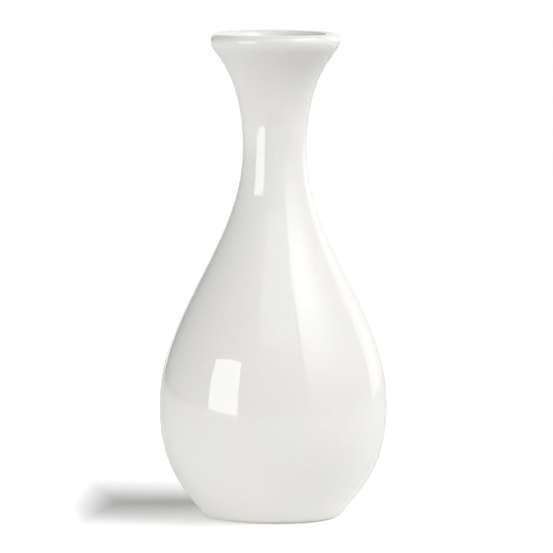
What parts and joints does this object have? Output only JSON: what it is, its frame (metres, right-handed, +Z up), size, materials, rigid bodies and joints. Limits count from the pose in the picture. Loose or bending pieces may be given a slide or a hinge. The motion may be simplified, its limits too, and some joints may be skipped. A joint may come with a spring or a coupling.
{
  "type": "bud vase",
  "caption": "Small pear-shaped vase in glazed ceramic, with a slender neck and a flared, rounded mouth, for a single stem.",
  "frame": {"origin": "centre of the foot ring, on the surface that the vase stands on", "axes": "+Z up along the axis that the vase is turned about; X and Y are alike, because the vase is round"},
  "size_m": [0.0612, 0.0612, 0.13],
  "materials": {
    "clay": "matte",
    "glaze": "polished"
  },
  "bodies": {
    "root": {"clay_body": "clay", "outer_glaze": "glaze", "liner_glaze": "glaze", "base_glaze": "glaze"}
  },
  "joints": []
}
